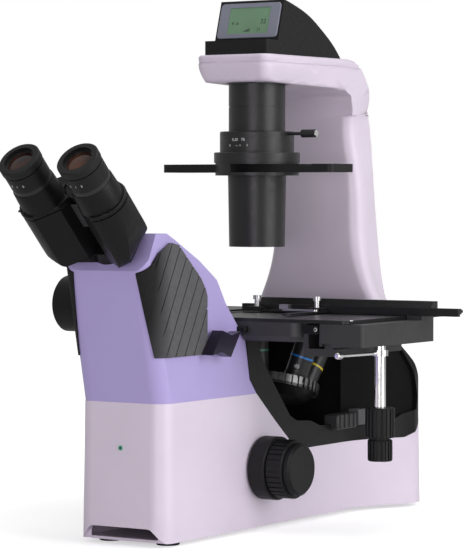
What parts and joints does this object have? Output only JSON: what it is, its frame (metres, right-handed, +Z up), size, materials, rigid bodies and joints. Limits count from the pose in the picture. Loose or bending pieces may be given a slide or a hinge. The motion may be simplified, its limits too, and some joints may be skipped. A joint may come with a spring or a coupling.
{
  "type": "inverted microscope",
  "caption": "Inverted microscope with a hinged binocular head, tilted nosepiece below a mechanical stage, condenser on an overhanging arm and a display.",
  "frame": {"origin": "on the bench, straight under the optical axis of the condenser and the objective in use", "axes": "+X to the user's right, +Y away from the user, +Z up along the optical axis"},
  "size_m": [0.3315, 0.5661, 0.51],
  "materials": {
    "lilac_paint": "satin",
    "purple_paint": "satin",
    "black_paint": "satin",
    "grey_paint": "satin",
    "black_plastic": "matte",
    "grey_rubber": "matte",
    "black_rubber": "matte",
    "silver_plastic": "satin",
    "screen": "gloss",
    "lamp": "gloss",
    "chrome": "polished",
    "steel": "brushed",
    "glass": "polished",
    "mirror": "polished"
  },
  "bodies": {
    "stand": {"base_casting": "lilac_paint", "bottom_plate": "black_paint", "rubber_feet": "black_rubber", "front_housing": "purple_paint", "grip_pads": "grey_rubber", "side_frames": "black_paint", "bay_liner": "black_plastic", "arm_column": "lilac_paint", "arm_cover": "lilac_paint", "display_hood": "black_plastic", "display_bezel": "silver_plastic", "display_screen": "screen", "power_led": "lamp", "camera_port": "black_paint", "power_inlet": "black_plastic", "folding_mirror": "mirror", "stage_body": "grey_paint", "stage_plate": "black_paint", "stage_insert": "black_paint", "stage_bracket": "grey_paint", "condenser_tube": "black_paint", "slider_holder": "black_paint", "lower_barrel": "black_paint", "condenser_lens": "glass", "head_base": "black_paint"},
    "nosepiece": {"nosepiece_carrier": "black_paint"},
    "turret_body": {"turret": "steel", "objective_4x": "black_paint", "objective_10x": "black_paint", "objective_20x": "black_paint", "objective_40x": "black_paint"},
    "coarse": {"coarse_knob_right": "black_plastic", "coarse_knob_left": "black_plastic"},
    "fine": {"fine_knob_right": "black_plastic", "fine_knob_left": "black_plastic"},
    "tension": {"tension_ring": "black_plastic"},
    "light_path": {"light_path_handle": "black_plastic"},
    "iris": {"iris_lever": "black_paint"},
    "phase": {"phase_slider": "black_plastic"},
    "carriage": {"y_carriage": "grey_paint", "x_guide": "black_paint"},
    "cross_slide": {"x_slide": "black_paint", "specimen_holder": "black_paint", "holder_screws": "steel"},
    "finger": {"slide_finger": "steel"},
    "y_handle": {"y_tube": "chrome", "y_knob": "black_plastic"},
    "x_handle": {"x_knob": "black_plastic"},
    "clamp": {"clamp_lever": "chrome"},
    "eye_right": {"prism_housing_right": "black_paint", "eyepiece_right": "black_paint", "eyecup_right": "black_rubber"},
    "eye_left": {"prism_housing_left": "black_paint", "eyepiece_left": "black_paint", "eyecup_left": "black_rubber"},
    "dioptre_right": {"dioptre_ring_right": "black_plastic"},
    "dioptre_left": {"dioptre_ring_left": "black_plastic"},
    "dial": {"brightness_dial": "black_plastic"},
    "switch": {"power_switch": "black_plastic"}
  },
  "joints": [
    {"name": "eye_spread_right", "type": "hinge", "parent": "stand", "child": "eye_right", "pos_m": [0, -0.24022, 0.2786], "axis": [0, -0.7071, 0.7071], "range_deg": [-14, 23.5]},
    {"name": "eye_spread_left", "type": "hinge", "parent": "stand", "child": "eye_left", "pos_m": [0, -0.24022, 0.2786], "axis": [0, -0.7071, 0.7071], "range_deg": [-23.5, 14]},
    {"name": "dioptre_right_turn", "type": "hinge", "parent": "eye_right", "child": "dioptre_right", "pos_m": [0.03185, -0.3433, 0.3523], "axis": [0, -0.7071, 0.7071], "range_deg": [-150, 150]},
    {"name": "dioptre_left_turn", "type": "hinge", "parent": "eye_left", "child": "dioptre_left", "pos_m": [-0.03185, -0.3433, 0.3523], "axis": [0, -0.7071, 0.7071], "range_deg": [-150, 150]},
    {"name": "light_path_slide", "type": "slide", "parent": "stand", "child": "light_path", "axis": [1, 0, 0], "range_m": [0, 0.012]},
    {"name": "coarse_focus", "type": "hinge", "parent": "stand", "child": "coarse", "pos_m": [0, -0.0666, 0.06], "axis": [1, 0, 0], "range_deg": [-15.4, 67]},
    {"name": "nosepiece_lift", "type": "slide", "parent": "stand", "child": "nosepiece", "axis": [0, 0, 1], "range_m": [-0.0016, 0.007]},
    {"name": "fine_focus", "type": "hinge", "parent": "stand", "child": "fine", "pos_m": [0, -0.0666, 0.06], "axis": [1, 0, 0], "continuous": true},
    {"name": "tension_turn", "type": "hinge", "parent": "stand", "child": "tension", "pos_m": [0, -0.0666, 0.06], "axis": [1, 0, 0], "range_deg": [-40, 40]},
    {"name": "turret_turn", "type": "hinge", "parent": "nosepiece", "child": "turret_body", "pos_m": [0, 0.03, 0.132], "axis": [0, 0.2756, 0.9613], "continuous": true},
    {"name": "stage_y", "type": "slide", "parent": "stand", "child": "carriage", "axis": [0, 1, 0], "range_m": [-0.03905, 0.03905]},
    {"name": "stage_x", "type": "slide", "parent": "carriage", "child": "cross_slide", "axis": [1, 0, 0], "range_m": [-0.06005, 0.06005]},
    {"name": "stage_y_knob", "type": "hinge", "parent": "carriage", "child": "y_handle", "pos_m": [0.165, -0.045, 0.1], "axis": [0, 0, 1], "range_deg": [-373, 373]},
    {"name": "stage_x_knob", "type": "hinge", "parent": "carriage", "child": "x_handle", "pos_m": [0.165, -0.045, 0.1], "axis": [0, 0, 1], "range_deg": [-573.5, 573.5]},
    {"name": "clamp_turn", "type": "hinge", "parent": "carriage", "child": "clamp", "pos_m": [0.165, -0.045, 0.1], "axis": [0, 0, 1], "range_deg": [0, 40]},
    {"name": "finger_turn", "type": "hinge", "parent": "cross_slide", "child": "finger", "pos_m": [0.0715, -0.008, 0.208], "axis": [0, 0, 1], "range_deg": [0, 25]},
    {"name": "iris_turn", "type": "hinge", "parent": "stand", "child": "iris", "pos_m": [0, 0, 0.38], "axis": [0, 0, 1], "range_deg": [-35, 35]},
    {"name": "phase_slide", "type": "slide", "parent": "stand", "child": "phase", "axis": [1, 0, 0], "range_m": [-0.038, 0.038]},
    {"name": "dial_turn", "type": "hinge", "parent": "stand", "child": "dial", "pos_m": [-0.055, -0.19, 0.06], "axis": [-1, 0, 0], "range_deg": [0, 270]},
    {"name": "switch_rock", "type": "hinge", "parent": "stand", "child": "switch", "pos_m": [-0.03, 0.20575, 0.035], "axis": [1, 0, 0], "range_deg": [-8, 8]}
  ],
  "couplings": [
    {"joint": "eye_spread_left", "follows": "eye_spread_right", "ratio": -1},
    {"joint": "coarse_focus", "follows": "nosepiece_lift", "rad_per_m": 166.67},
    {"joint": "stage_y_knob", "follows": "stage_y", "rad_per_m": 166.67},
    {"joint": "stage_x_knob", "follows": "stage_x", "rad_per_m": 166.67}
  ]
}
